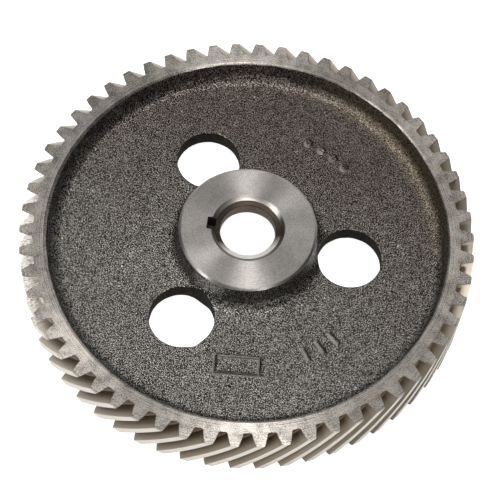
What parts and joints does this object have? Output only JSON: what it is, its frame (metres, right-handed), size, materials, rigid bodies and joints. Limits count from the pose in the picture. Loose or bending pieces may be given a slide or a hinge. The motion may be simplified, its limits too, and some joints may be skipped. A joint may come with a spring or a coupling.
{
  "type": "camshaft gear",
  "caption": "Cast iron camshaft timing gear: helical toothed rim, recessed web with round lightening holes, and a proud turned hub with a keyed bore.",
  "frame": {"origin": "on the gear's axis, in the plane of the rim's rear face", "axes": "+Z along the axis, out of the front face; +X through the middle of one web hole; the keyway lies at -X"},
  "size_m": [0.1612, 0.161, 0.0246],
  "materials": {
    "cast_iron": "machined satin on the rim, teeth and hub, rough as cast on the web"
  },
  "bodies": {
    "root": {"camshaft_gear": "cast_iron"}
  },
  "joints": []
}
